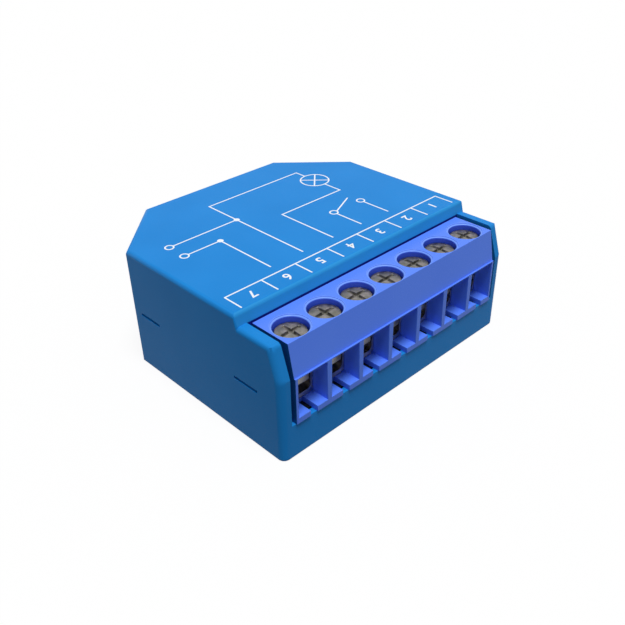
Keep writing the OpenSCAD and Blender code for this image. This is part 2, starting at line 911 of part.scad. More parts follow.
module fixed_contact() {
    color(tin) {
        relay_box(x_fixed - strip_t, x_fixed, blade_w, z_relay, z_contact + contact_r);
        relay_rod(x_fixed, x_armature - pole_gap, z_contact, contact_r);
        relay_box(x_fixed - strip_t, x_fixed, relay_leg_w, z_lead, z_relay);
    }
}

module storage_capacitor(i) {
    groove = 0.3;
    y = cap_ys[i - 1];
    color(black_resin) {
        translate([cap_x, y, z_board_top])
            rotate_extrude()
                polygon([
                    [0, 0],
                    [cap_r, 0],
                    [cap_r, groove * 3],
                    [cap_r - groove, groove * 4],
                    [cap_r, groove * 5],
                    [cap_r, cap_h - groove],
                    [cap_r - groove, cap_h],
                    [0, cap_h]
                ]);
        for (s = [-1, 1])
            lead([cap_x + s * cap_lead_x, y], z_board_top + groove);
    }
}

module surge_disc() {
    z = z_board_top + varistor_lift + varistor_r;
    color("#2f63b0") {
        translate([varistor_x, varistor_y + varistor_t / 2, z])
            rotate([90, 0, 0])
                cylinder(h = varistor_t, r = varistor_r);
        for (p = varistor_leads)
            lead(p, z);
    }
}

module choke_core() {
    color("#3b3b40")
        translate([choke_x, choke_y, z_board_top]) {
            cylinder(h = choke_flange_t, r = choke_r);
            cylinder(h = choke_h, r = choke_post_r);
            translate([0, 0, choke_h - choke_flange_t])
                cylinder(h = choke_flange_t, r = choke_r);
        }
    color("#3b3b40")
        for (p = choke_leads)
            lead(p, z_board_top + choke_flange_t / 2);
}

module choke_winding() {
    color(copper)
        translate([choke_x, choke_y, z_board_top + choke_flange_t + seat_gap])
            difference() {
                cylinder(h = choke_h - 2 * choke_flange_t - 2 * seat_gap, r = choke_wire_r);
                translate([0, 0, -over])
                    cylinder(h = choke_h, r = choke_post_r + run_gap);
            }
}

module fuse_resistor() {
    z = z_board_top + fuse_lift + fuse_r;
    color("#4b8a5a") {
        translate([fuse_x - fuse_l / 2, fuse_y, z])
            rotate([0, 90, 0])
                cylinder(h = fuse_l, r = fuse_r);
        translate([fuse_x - fuse_l / 2 - fuse_reach, fuse_y, z])
            rotate([0, 90, 0])
                cylinder(h = fuse_l + 2 * fuse_reach, r = lead_r);
        for (p = fuse_leads)
            lead(p, z);
    }
}

// A flat chip that stands on the board about a point
module chip(x, y, size) {
    color(black_resin)
        translate([x - size[0] / 2, y - size[1] / 2, z_board_top])
            cube(size);
}

module rectifier() {
    chip(rectifier_x, mid_chip_y, rectifier_size);
}

module converter_chip() {
    chip(chip_row_x, mid_chip_y, converter_size);
}

module optocoupler() {
    chip(transistor_x, front_chip_y, optocoupler_size);
}

module switch_transistor() {
    chip(transistor_x, transistor_y, transistor_size);
}

module chip_parts() {
    for (i = [0 : chip_part_count - 1])
        chip(chip_part_x + i * chip_part_step, back_chip_y, chip_part_size);
}

// A flat part on the front of the upright radio board, placed by its lower left corner
module radio_part(x, z, width, height, depth) {
    box([x, y_radio - depth, z], [x + width, y_radio, z + height]);
}

module radio_board() {
    color(board_green)
        box([-radio_w / 2, y_radio, z_board_top], [radio_w / 2, y_radio + radio_t, z_board_top + radio_h]);
}

module radio_chip() {
    color(black_resin)
        radio_part(-radio_row_w / 2, z_radio_row, radio_chip_w, radio_chip_h, chip_t);
}

module memory_chip() {
    color(black_resin)
        radio_part(radio_row_w / 2 - memory_w, z_radio_row, memory_w, memory_h, chip_t);
}

module crystal() {
    color(tin)
        radio_part(radio_chip_w + part_gap - radio_row_w / 2, z_radio_row, crystal_w, crystal_h, chip_t);
}

// A copper line that runs up and down along the radio board's upper edge
module antenna_trace() {
    folds = 5;
    fold = 2 * trace_w;
    x_first = radio_w / 2 - radio_edge - 2 * folds * fold - trace_w;
    color(copper)
        for (i = [0 : 2 * folds]) {
            x = x_first + i * fold;
            z_join = i % 2 == 0 ? z_trace_top - trace_w : z_trace;
            radio_part(x, z_trace, trace_w, z_trace_top - z_trace, trace_t);
            if (i < 2 * folds)
                radio_part(x, z_join, fold + trace_w, trace_w, trace_t);
        }
}

module link_pins() {
    color(tin)
        for (p = link_leads)
            lead(p, z_board_top + link_h);
}

module reset_switch() {
    rim_room = reset_r + reset_rim + run_gap;
    color(black_resin)
        translate([reset_x, reset_y, z_reset])
            difference() {
                translate([-reset_body_w / 2, -reset_body_d / 2, 0])
                    cube([reset_body_w, reset_body_d, reset_body_h]);
                translate([0, 0, -over])
                    cylinder(h = reset_body_h + 2 * over, r = reset_r + run_gap);
                translate([0, 0, reset_ledge_t])
                    cylinder(h = reset_body_h + over, r = rim_room);
            }
}

module reset_dome() {
    color(tin)
        translate([reset_x, reset_y, z_board - dome_t])
            cylinder(h = dome_t, r = reset_r + reset_rim);
}

module reset_button() {
    color("#d8d8d8")
        translate([reset_x, reset_y, 0]) {
            translate([0, 0, reset_recess])
                cylinder(h = z_reset_rim - reset_recess, r = reset_r);
            translate([0, 0, z_reset_rim])
                cylinder(h = reset_rim_t, r = reset_r + reset_rim);
        }
}

upper_case();
base_cover();
terminal_block();
for (i = [1 : poles]) {
    terminal_screw(i);
    clamp_cage(i);
    contact_bar(i);
}
main_board();
relay_base();
relay_cover();
coil_bobbin();
coil_winding();
coil_core();
coil_pins();
relay_yoke();
relay_armature();
contact_blade();
moving_contact();
fixed_contact();
for (i = [1 : 2])
    storage_capacitor(i);
surge_disc();
choke_core();
choke_winding();
fuse_resistor();
rectifier();
converter_chip();
optocoupler();
switch_transistor();
chip_parts();
radio_board();
radio_chip();
memory_chip();
crystal();
antenna_trace();
link_pins();
reset_switch();
reset_dome();
reset_button();
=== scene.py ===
import json
import math

import bmesh
import bpy
import numpy as np
from mathutils import Matrix, Vector


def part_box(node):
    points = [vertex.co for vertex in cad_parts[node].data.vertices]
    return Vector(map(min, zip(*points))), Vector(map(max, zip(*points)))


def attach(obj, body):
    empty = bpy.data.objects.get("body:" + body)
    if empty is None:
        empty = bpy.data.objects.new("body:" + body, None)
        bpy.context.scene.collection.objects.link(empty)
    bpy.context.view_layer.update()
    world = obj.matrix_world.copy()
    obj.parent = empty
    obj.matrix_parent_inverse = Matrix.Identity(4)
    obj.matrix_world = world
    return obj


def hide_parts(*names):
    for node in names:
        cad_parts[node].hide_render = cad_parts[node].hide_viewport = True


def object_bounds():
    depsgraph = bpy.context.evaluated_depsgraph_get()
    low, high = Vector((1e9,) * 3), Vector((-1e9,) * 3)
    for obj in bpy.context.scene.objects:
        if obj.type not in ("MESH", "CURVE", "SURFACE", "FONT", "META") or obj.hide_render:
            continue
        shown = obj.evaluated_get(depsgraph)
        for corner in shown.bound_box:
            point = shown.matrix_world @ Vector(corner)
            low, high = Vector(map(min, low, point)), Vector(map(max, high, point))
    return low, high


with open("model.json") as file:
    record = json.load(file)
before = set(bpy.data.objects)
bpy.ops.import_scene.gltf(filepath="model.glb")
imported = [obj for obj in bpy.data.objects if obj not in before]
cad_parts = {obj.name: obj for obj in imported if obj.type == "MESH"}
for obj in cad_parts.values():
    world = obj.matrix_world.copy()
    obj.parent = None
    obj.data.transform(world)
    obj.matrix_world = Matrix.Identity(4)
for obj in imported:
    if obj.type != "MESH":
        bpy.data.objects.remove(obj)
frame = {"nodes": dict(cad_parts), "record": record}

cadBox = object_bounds()
mm = 0.001  # the frame is in metres, the sizes below are in millimetres
nodes = frame["nodes"]
record = frame["record"]
slotOf = {s["node"]: s["material_slot"] for s in record["subparts"]}
bodyOf = {n: body for body, names in record["behaviour"]["bodies"].items() for n in names}
poleCount = sum(name.startswith("terminal_screw_") for name in nodes)
print("frame loaded:", len(nodes), "nodes,", poleCount, "terminals")


def addObject(name, data):
    thing = bpy.data.objects.new(name, data)
    bpy.context.scene.collection.objects.link(thing)
    return thing


def finishPiece(name, mesh, material, body, sharpAngle):
    # An object at the origin that rides its body, smooth except over edges sharper than the angle
    mesh.polygons.foreach_set("use_smooth", np.ones(len(mesh.polygons), bool))
    mesh.set_sharp_from_angle(angle=math.radians(sharpAngle))
    piece = addObject(name, mesh)
    mesh.materials.append(material)
    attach(piece, body)
    return piece


def meshPiece(name, verts, faces, material, body, sharpAngle):
    # The same from arrays of points in metres and of faces
    mesh = bpy.data.meshes.new(name)
    mesh.from_pydata(np.asarray(verts, float).tolist(), [], [list(map(int, f)) for f in faces])
    mesh.validate()
    return finishPiece(name, mesh, material, body, sharpAngle)


def gridFaces(rows, cols, first=0, closed=False):
    # Quads between neighbouring points of a grid whose points are numbered row by row
    i, j = np.meshgrid(np.arange(rows - 1), np.arange(cols if closed else cols - 1), indexing="ij")
    i, j = i.ravel(), j.ravel()
    k = (j + 1) % cols
    return np.stack([i * cols + j, i * cols + k, (i + 1) * cols + k, (i + 1) * cols + j], 1) + first


def smoothStep(t):
    t = np.clip(t, 0, 1)
    return t * t * (3 - 2 * t)


def boxOf(node):
    # A node's lowest corner, highest corner and middle in millimetres
    low, high = (np.array(c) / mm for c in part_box(node))
    return low, high, (low + high) / 2


# What the materials share
def startMaterial(name, roughness, metallic=0.0, specular=0.5):
    material = bpy.data.materials.new(name)
    material.use_nodes = True
    tree = material.node_tree
    shader = tree.nodes["Principled BSDF"]
    shader.inputs["Roughness"].default_value = roughness
    shader.inputs["Metallic"].default_value = metallic
    shader.inputs["Specular IOR Level"].default_value = specular
    return material, tree, shader


def objectCoords(tree, stretch=(1, 1, 1)):
    coords = tree.nodes.new("ShaderNodeTexCoord")
    mapping = tree.nodes.new("ShaderNodeMapping")
    mapping.inputs["Scale"].default_value = stretch
    tree.links.new(coords.outputs["Object"], mapping.inputs["Vector"])
    return mapping.outputs["Vector"]


def noise(tree, vector, grain, detail):
    # grain is the size of a speck in millimetres
    node = tree.nodes.new("ShaderNodeTexNoise")
    node.inputs["Scale"].default_value = 1 / (grain * mm)
    node.inputs["Detail"].default_value = detail
    tree.links.new(vector, node.inputs["Vector"])
    return node.outputs["Fac"]


def ramp(tree, factor, stops):
    node = tree.nodes.new("ShaderNodeValToRGB")
    elements = node.color_ramp.elements
    while len(elements) < len(stops):
        elements.new(0.5)
    for element, (place, colour) in zip(elements, stops):
        element.position = place
        element.color = (*colour, 1)
    tree.links.new(factor, node.inputs["Fac"])
    return node.outputs["Color"]


def spread(tree, factor, low, high):
    # Noise lies mostly between 0.3 and 0.7, which is spread from low to high.
    node = tree.nodes.new("ShaderNodeMapRange")
    for socket, value in (("From Min", 0.3), ("From Max", 0.7), ("To Min", low), ("To Max", high)):
        node.inputs[socket].default_value = value
    tree.links.new(factor, node.inputs["Value"])
    return node.outputs["Result"]


def bump(tree, shader, height, depth, strength):
    # depth is in millimetres
    node = tree.nodes.new("ShaderNodeBump")
    node.inputs["Strength"].default_value = strength
    node.inputs["Distance"].default_value = depth * mm
    tree.links.new(height, node.inputs["Height"])
    tree.links.new(node.outputs["Normal"], shader.inputs["Normal"])


def timesAttribute(tree, tint, name):
    # The tint times a colour that the mesh carries
    layer = tree.nodes.new("ShaderNodeAttribute")
    layer.attribute_name = name
    product = tree.nodes.new("ShaderNodeMix")
    product.data_type, product.blend_type = "RGBA", "MULTIPLY"
    product.inputs["Factor"].default_value = 1
    tree.links.new(tint, product.inputs["A"])
    tree.links.new(layer.outputs["Color"], product.inputs["B"])
    return product.outputs["Result"]


def tintAndGloss(tree, shader, tint, patch, roughness, look):
    # The gloss varies with the patches, a little to both sides of the roughness.
    tree.links.new(tint, shader.inputs["Base Color"])
    gloss = spread(tree, patch, roughness - look["glossier"], roughness + look["duller"])
    tree.links.new(gloss, shader.inputs["Roughness"])


plasticLook = {"drift": 9, "glossier": 0.05, "duller": 0.06, "bite": 0.5}


def mouldedPlastic(name, dark, light, roughness, specular, grain=0.16, relief=0.004, paintedLight=None):
    # Moulded plastic: slow drift of colour, fine spark-eroded grain, gloss that varies a little. A
    # painted-light layer is the name of a colour on the mesh, which holds painted light and shade, that the
    # tint is multiplied by.
    material, tree, shader = startMaterial(name, roughness, 0.0, specular)
    vector = objectCoords(tree)
    tint = ramp(tree, noise(tree, vector, plasticLook["drift"], 2), [(0.3, dark), (0.7, light)])
    if paintedLight:
        tint = timesAttribute(tree, tint, paintedLight)
    fine = noise(tree, vector, grain, 2)
    tintAndGloss(tree, shader, tint, fine, roughness, plasticLook)
    bump(tree, shader, fine, relief, plasticLook["bite"])
    return material


metalLook = {"pits": 5, "relief": 0.006, "glossier": 0.08, "duller": 0.1, "bite": 0.4}


def mottledMetal(name, stops, roughness, grain, paintedRecessShade=None):
    # Plated metal: patches of tint, fine pitting and a gloss that follows the patches. The painted recess
    # shade is the name of a colour on the mesh, which holds painted shade, that the tint is multiplied by.
    material, tree, shader = startMaterial(name, roughness, 1.0)
    vector = objectCoords(tree)
    patch = noise(tree, vector, grain, 4)
    tint = ramp(tree, patch, stops)
    if paintedRecessShade:
        tint = timesAttribute(tree, tint, paintedRecessShade)
    tintAndGloss(tree, shader, tint, patch, roughness, metalLook)
    pits = noise(tree, vector, grain / metalLook["pits"], 2)
    bump(tree, shader, pits, metalLook["relief"], metalLook["bite"])
    return material


resinLook = {"specular": 0.4, "glossier": 0.06, "duller": 0.08, "bite": 0.4}


def speckledResin(name, dark, light, roughness, grain=0.25, relief=0.01):
    # Filled resin or coating: fine specks with a slight roughness of surface
    material, tree, shader = startMaterial(name, roughness, 0.0, resinLook["specular"])
    speck = noise(tree, objectCoords(tree), grain, 3)
    tint = ramp(tree, speck, [(0.35, dark), (0.7, light)])
    tintAndGloss(tree, shader, tint, speck, roughness, resinLook)
    bump(tree, shader, speck, relief, resinLook["bite"])
    return material


boardLook = {"dark": (0.003, 0.006, 0.007), "light": (0.007, 0.012, 0.014), "rough": 0.38, "glossier": 0.08,
             "duller": 0.07, "weave": 0.6, "stretch": (1, 6, 1), "speck": 0.3, "relief": 0.008, "bite": 0.3}


def boardMask(name, look):
    # Solder mask: nearly black, with the weave of the glass cloth just showing
    material, tree, shader = startMaterial(name, look["rough"])
    weave = noise(tree, objectCoords(tree, look["stretch"]), look["weave"], 2)
    tint = ramp(tree, weave, [(0.3, look["dark"]), (0.7, look["light"])])
    speck = noise(tree, objectCoords(tree), look["speck"], 2)
    tintAndGloss(tree, shader, tint, speck, look["rough"], look)
    bump(tree, shader, weave, look["relief"], look["bite"])
    return material


inkLook = {"thin": (0.72, 0.80, 0.90), "full": (0.9, 0.93, 0.97), "rough": 0.55, "specular": 0.2,
           "speck": 0.12, "relief": 0.003, "bite": 0.3}


def printInk(name, look):
    # Pad-printed ink: off-white, thinning a little in specks
    material, tree, shader = startMaterial(name, look["rough"], 0.0, look["specular"])
    speck = noise(tree, objectCoords(tree), look["speck"], 3)
    tint = ramp(tree, speck, [(0.25, look["thin"]), (0.5, look["full"])])
    tree.links.new(tint, shader.inputs["Base Color"])
    bump(tree, shader, speck, look["relief"], look["bite"])
    return material


finish = {
    # The case's and the block's tints are multiplied by painted light and shade that their meshes carry.
    "case_plastic": mouldedPlastic("caseBlue", (0.012, 0.229, 0.649), (0.015, 0.247, 0.687), 0.42, 0.07,
                                   paintedLight="paintedLight"),
    "block_plastic": mouldedPlastic("blockBlue", (0.100, 0.242, 0.985), (0.108, 0.256, 1.000), 0.24, 0.11,
                                    0.12, 0.002, "paintedLight"),
    # The screws' tint is multiplied by painted shade in their recesses.
    "screw_steel": mottledMetal("zincScrew", [(0.3, (0.17, 0.165, 0.13)), (0.5, (0.235, 0.225, 0.20)),
                                              (0.7, (0.33, 0.295, 0.285))], 0.38, 0.55, "paintedRecessShade"),
    "clamp_metal": mottledMetal("platedCage", [(0.3, (0.36, 0.34, 0.33)), (0.7, (0.50, 0.46, 0.45))],
                                0.34, 0.7),
    "tinned_copper": mottledMetal("tinnedBar", [(0.3, (0.25, 0.235, 0.185)), (0.7, (0.37, 0.35, 0.28))],
                                  0.42, 0.8),
    "board": boardMask("solderMask", boardLook),
    "black_resin": speckledResin("blackResin", (0.010, 0.010, 0.011), (0.022, 0.022, 0.024), 0.5),
    "bobbin_plastic": mouldedPlastic("creamPlastic", (0.66, 0.60, 0.45), (0.72, 0.66, 0.50), 0.45, 0.4),
    "copper": mottledMetal("enamelledCopper", [(0.3, (0.40, 0.14, 0.05)), (0.7, (0.56, 0.21, 0.08))],
                           0.3, 0.4),
    "soft_iron": mottledMetal("platedIron", [(0.3, (0.34, 0.335, 0.32)), (0.7, (0.46, 0.45, 0.43))],
                              0.4, 0.6),
    "contact_silver": mottledMetal("brightPlate", [(0.3, (0.62, 0.61, 0.59)), (0.7, (0.78, 0.77, 0.75))],
                                   0.22, 0.4),
    "sleeve": mouldedPlastic("shrunkSleeve", (0.014, 0.014, 0.018), (0.022, 0.022, 0.028), 0.3, 0.5,
                             0.4, 0.006),
    "blue_coating": speckledResin("dippedBlue", (0.028, 0.11, 0.36), (0.045, 0.15, 0.46), 0.3, 0.35, 0.012),
    "ferrite": speckledResin("bareFerrite", (0.030, 0.030, 0.033), (0.065, 0.065, 0.07), 0.62, 0.18, 0.012),
    "green_coating": speckledResin("greenCoat", (0.055, 0.20, 0.085), (0.085, 0.27, 0.12), 0.55, 0.3, 0.015),
    "button_plastic": mouldedPlastic("buttonGrey", (0.60, 0.60, 0.60), (0.68, 0.68, 0.68), 0.4, 0.4),
}
inkWhite = printInk("inkWhite", inkLook)
for name, obj in nodes.items():
    obj.data.materials.clear()
    obj.data.materials.append(finish[slotOf[name]])
print("finishes:", len(finish) + 1)


# Rounding of each node's sharp outer edges, in millimetres; a key that ends in _ stands for a numbered row
softEdges = {
    "upper_case": 0.14,
    "base_cover": 0.05,
    "terminal_block": 0.06,
    "clamp_cage_": 0.08,
    "contact_bar_": 0.06,
    "main_board": 0.05,
    "radio_board": 0.05,
    "relay_cover": 0.25,
    "relay_base": 0.1,
    "coil_bobbin": 0.1,
    "relay_yoke": 0.08,
    "relay_armature": 0.08,
    "rectifier": 0.12,
    "converter_chip": 0.12,
    "optocoupler": 0.12,
    "switch_transistor": 0.12,
    "chip_parts": 0.06,
    "radio_chip": 0.08,
    "memory_chip": 0.08,
    "crystal": 0.12,
    "reset_switch": 0.08,
}
softRules = {
    "weld": 0.002,     # points nearer than this are merged
    "reweld": 0.0005,  # and after the rounding, nearer than this
    "flat": 0.3,       # degrees up to which neighbouring faces are one
    "angle": 50,       # degrees from which an edge is sharp
    "least": 0.1,      # length from which it is rounded
    "steps": 3,        # faces across a rounding
    "turn": 40,        # degrees by which a line of edges may turn from one edge to the next
    "room": 1.3,       # room that a rounding needs beside it, in radii
    "cut": 0.0001,     # how near to an extra row a point lies on it
    "knee": 11.2,      # height of the line where the shoulders' front starts to slope
    "level": 0.02,     # how near to that height a point lies on the line
    "smooth": 42,      # degrees over which the shading breaks
}
# Boxes whose edges stay sharp: the snap slits, the bay for the block, the ledge over the wire windows, and
# the block's top front edge, which the well rims nearly touch
crispBoxes = {
    "upper_case": [((-21, -19, 7.9), (21, 19, 8.5)), ((-19.1, -19, 4.6), (19.1, -11.5, 15.6))],
    "terminal_block": [((-19, -19, 10.8), (19, -17.7, 11.2)), ((-19, -17.8, 15.2), (19, -17.65, 15.4))],
}
# Heights at which a mesh gets another row of points: the first four keep what lies at the ends of an upright
# corner from bending the corner's shading, and the last is the top of the strip of painted shade at the
# step's foot.
blockTop = boxOf("terminal_block")[1][2]
footShadeTop = blockTop + 0.12  # the strip of painted shade is 0.12 mm high
extraRows = {"upper_case": (0.4, 10.9, 11.6, 14.75, footShadeTop)}


def staysCrisp(node, edge):
    ends = np.array([v.co for v in edge.verts]) / mm
    return any((ends > low).all() and (ends < high).all() for low, high in crispBoxes.get(node, []))


def roomyEdges(edges, radius, rules):
    # The sharp edges that can be rounded off in full: at both ends the edges that turn away are long enough.
    chosen = set(edges)
    straight = -math.cos(math.radians(rules["turn"]))
    room = radius * mm * rules["room"]
    while True:
        ends = {vert for edge in chosen for vert in edge.verts}
        tight = set()
        for edge in chosen:
            for vert in edge.verts:
                along = (edge.other_vert(vert).co - vert.co).normalized()
                for other in vert.link_edges:
                    onward = (other.other_vert(vert).co - vert.co).normalized()
                    if other is edge or other in chosen and along.dot(onward) < straight:
                        continue
                    both = other.other_vert(vert) in ends
                    if other.calc_length() < room * (2 if both else 1):
                        tight.add(edge)
        if not tight:
            return [e for e in edges if e in chosen]
        chosen -= tight


def markKnee(mesh, rules):
    # The line where an upright wall turns into a slope is crisp, though the faces meet at a small angle.
    ends, points = np.zeros(len(mesh.edges) * 2, int), np.zeros(len(mesh.vertices) * 3)
    flags = np.zeros(len(mesh.edges), bool)
    mesh.edges.foreach_get("vertices", ends)
    mesh.vertices.foreach_get("co", points)
    mesh.edges.foreach_get("use_edge_sharp", flags)
    level = np.abs(points.reshape(-1, 3)[:, 2] / mm - rules["knee"]) < rules["level"]
    mesh.edges.foreach_set("use_edge_sharp", flags | level[ends.reshape(-1, 2)].all(1))


def softCopy(node, radius, rules):
    # A merged copy of a CAD node whose straight sharp edges are rounded off. The faces keep their flat look
    # because each normal is weighted by the area of its face.
    part = bmesh.new()
    part.from_mesh(nodes[node].data)
    bmesh.ops.remove_doubles(part, verts=part.verts, dist=rules["weld"] * mm)
    bmesh.ops.dissolve_limit(part, angle_limit=math.radians(rules["flat"]), verts=part.verts,
                             edges=part.edges)
    sharp = [e for e in part.edges if e.is_manifold and e.is_convex and e.calc_length() > rules["least"] * mm
             and e.calc_face_angle() > math.radians(rules["angle"]) and not staysCrisp(node, e)]
    sharp = roomyEdges(sharp, radius, rules)
    bmesh.ops.bevel(part, geom=sharp, offset=radius * mm, offset_type="OFFSET", segments=rules["steps"],
                    profile=0.5, affect="EDGES", clamp_overlap=False, loop_slide=True)
    bmesh.ops.remove_doubles(part, verts=part.verts, dist=rules["reweld"] * mm)
    for height in extraRows.get(node, ()):
        bmesh.ops.bisect_plane(part, geom=part.verts[:] + part.edges[:] + part.faces[:],
                               dist=rules["cut"] * mm, plane_co=(0, 0, height * mm), plane_no=(0, 0, 1))
    mesh = bpy.data.meshes.new(node + "_soft")
    part.to_mesh(mesh)
    part.free()
    if "custom_normal" in mesh.attributes:  # the imported normals no longer fit the faces
        mesh.attributes.remove(mesh.attributes["custom_normal"])
    piece = finishPiece(node + "_soft", mesh, finish[slotOf[node]], bodyOf[node],
                        rules["smooth"])
    markKnee(mesh, rules)
    weigh = piece.modifiers.new("weigh", "WEIGHTED_NORMAL")
    weigh.keep_sharp = True
    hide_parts(node)
    return len(sharp)


softened = {}
for key, radius in softEdges.items():
    for node in nodes:
        if node == key or key.endswith("_") and node.startswith(key):
            softened[node] = softCopy(node, radius, softRules)
print("softened:", len(softened), "nodes,", sum(softened.values()), "edges")


def faceTable(node):
    # A rounded copy's mesh, and each face's middle in millimetres and normal
    mesh = bpy.data.objects[node + "_soft"].data
    middles = np.array([p.center for p in mesh.polygons]) / mm
    return mesh, middles, np.array([p.normal for p in mesh.polygons])


def paintFaces(mesh, patches):
    # The faces of a patch carry its colour, by which the material multiplies the tint. Others carry white.
    paintedLight = np.ones((len(mesh.polygons), 4))
    for patch, colour in patches:
        paintedLight[patch, :3] = colour
    corners = [p.loop_total for p in mesh.polygons]
    layer = mesh.attributes.new("paintedLight", "FLOAT_COLOR", "CORNER")
    layer.data.foreach_set("color", np.repeat(paintedLight, corners, axis=0).ravel())


blockPaintedLight = {
    "boreR": 2.4,              # faces this near to a screw's axis are the bore's
    "boreDeep": 2.3,           # the bore's wall is toned down to this far below the block's top
    "rimDeep": 0.25,           # and the rim down to this far
    "wallRise": 0.5,           # the wall's normals rise less than this
    "rimRise": (0.50, 0.98),   # and the rim's rise between these
    "skin": 0.03,              # faces this near to the block's box are on its outside
    "square": 0.9,             # and face it with a normal of at least this
    # painted shade on the bores' walls
    "bore": (0.46, 0.44, 0.78),
    # painted highlight on the bores' rounded rims
    "rim": (1.8, 1.45, 1.0),
    # painted shade on the flanks and the back, which lie in the bay
    "bayShade": (0.06, 0.36, 0.34),
}


def paintBlockLight(spec):
    # Painted shade: the bores' walls are painted darker than the outside, and so are the flanks and the back,
    # which lie in the bay. Painted highlight: the bores' rounded rims are painted paler.
    high = boxOf("terminal_block")[1]
    mesh, middles, normals = faceTable("terminal_block")
    x, y, z = middles.T
    rise = normals[:, 2]
    axes = [boxOf("terminal_screw_%d" % i)[2] for i in range(1, poleCount + 1)]
    inside = np.min([np.hypot(x - a[0], y - a[1]) for a in axes], axis=0) < spec["boreR"]
    bore = inside & (np.abs(rise) < spec["wallRise"]) & (z > blockTop - spec["boreDeep"])
    least, most = spec["rimRise"]
    rim = inside & (rise > least) & (rise < most) & (z > blockTop - spec["rimDeep"])
    bayShade = (np.abs(x) > high[0] - spec["skin"]) & (np.abs(normals[:, 0]) > spec["square"])
    bayShade |= (y > high[1] - spec["skin"]) & (normals[:, 1] > spec["square"])
    paintFaces(mesh, [(bore, spec["bore"]), (rim, spec["rim"]), (bayShade, spec["bayShade"])])


casePaintedLight = {
    "under": 0.4,      # the step's face starts this far below the block's top
    "beside": 1,       # reaches this far past the block's ends
    "behind": 1.6,     # and this far from the block's back
    "forward": 0.3,    # and its normals point forwards by more than this
    "joint": 0.8,      # its foot lies this near to the block's back
    # painted light on the step's face
    "step": (1.9, 1.2, 1.03),
    # painted shade at the step's foot
    "foot": (0.7, 0.10, 0.52),
}


def paintCaseLight(node, spec):
    # Painted light: the face of the step is painted lighter and greyer than the rest. Painted shade: its
    # foot, where it meets the block's top, is painted dark like the shaded joint below it.
    high = boxOf("terminal_block")[1]
    mesh, middles, normals = faceTable(node)
    x, y, z = middles.T
    away = np.abs(y - high[1])
    step = (z > blockTop - spec["under"]) & (np.abs(x) < high[0] + spec["beside"])
    step &= (away < spec["behind"]) & (normals[:, 1] < -spec["forward"])
    foot = step & (z < footShadeTop) & (away < spec["joint"])
    paintFaces(mesh, [(step, spec["step"]), (foot, spec["foot"])])


paintBlockLight(blockPaintedLight)
for node in ("upper_case", "base_cover"):
    paintCaseLight(node, casePaintedLight)
print("toned: block, case and cover")


windings = {
    "coil_winding": {"name": "coil_turns", "axis": 0, "bore": 1.85},
    "choke_winding": {"name": "choke_turns", "axis": 2, "bore": 1.17},
}
woundShape = {"pitch": 0.3, "groove": 0.09, "rows": 6, "around": 40, "smooth": 60}


def woundSleeve(node, winding, shape):
    # A sleeve of wire turns: at each place along the axis and angle round it, the outer radius dips by the
    # groove's depth between one turn and the next, r = outer - groove (1 - |sin pi (place / pitch - angle /
    # full turn)|). The last rows turn in over the end, run back along the bore and close on the first row.
    low, high, middle = boxOf(node)
    axis, around = winding["axis"], shape["around"]
    across, third = (axis + 1) % 3, (axis + 2) % 3
    outer = (high[across] - low[across]) / 2
    rows = int((high[axis] - low[axis]) / shape["pitch"]) * shape["rows"]
    place = np.linspace(low[axis], high[axis], rows)[:, None]
    angle = np.linspace(0, 2 * math.pi, around, endpoint=False)[None, :]
    wave = np.abs(np.sin(math.pi * (place / shape["pitch"] - angle / (2 * math.pi))))
    r = np.concatenate([outer - shape["groove"] * (1 - wave), np.full((2, around), winding["bore"])])
    verts = np.zeros((*r.shape, 3))
    verts[..., axis] = np.concatenate([place, place[[-1]], place[[0]]])
    verts[..., across] = middle[across] + r * np.cos(angle)
    verts[..., third] = middle[third] + r * np.sin(angle)
    faces = gridFaces(len(r) + 1, around, 0, True) % (len(r) * around)
    piece = meshPiece(winding["name"], verts.reshape(-1, 3) * mm, faces, finish["copper"], bodyOf[node],
                      shape["smooth"])
    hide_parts(node)


for node, winding in windings.items():
    woundSleeve(node, winding, woundShape)
print("windings:", len(windings))


screwShape = {
    "ease": 0.01,        # the head's radius is this much less than the CAD's
    "crown": 0.06,       # rise of the head's crown over its rim
    "rim": 0.12,         # rounding of the head's rim
    "rimRings": 5,       # rings of points over the rounding
    "head": 1.5,         # height of the head
    "chamfer": 0.06,     # height of the chamfer under the head
    "under": 0.97,       # radius of the head's underside, as a share of the head's radius
    "hub": 0.5,          # the last ring's radius, the same way
    "arm": 0.15,         # half width of a recess arm, as a share of the head's radius
    "reach": 0.78,       # length of a recess arm, the same way
    "deep": 0.33,        # depth of the recess at its middle
    "shallow": 0.16,     # depth of the recess at the ends of its arms
    "bowl": 0.20,        # radius of the recess's round middle, as a share of the head's radius
    "bowlWall": 0.1,     # width of its sloping wall, the same way
    "wall": 0.05,        # width of the arms' sloping walls, the same way
    "wallLines": (1.1, 0.8, 0.5, 0.2, -0.1),  # lines of points by each wall, in widths in from its top
    "lines": 45,         # lines of points across the head
    "recessShadeLevel": 0.72,        # painted shade: how dark the recess's floor is painted beside the head
    "recessShadeDeep": 0.08,    # depth from which the painted shade is that dark
    "shank": 1.0,        # radius over the thread
    "pitch": 0.4,        # thread
    "thread": 0.22,      # depth of the thread
    "tipFade": 0.5,      # length over which the thread starts at the tip
    "headFade": 0.4,     # and ends under the head
    "turnRows": 8,       # rows of points to a turn
    "around": 40,        # points round the shank
    "bury": 0.2,         # the shank runs this far into the head
    "smooth": 32,        # degrees over which the shading breaks
}


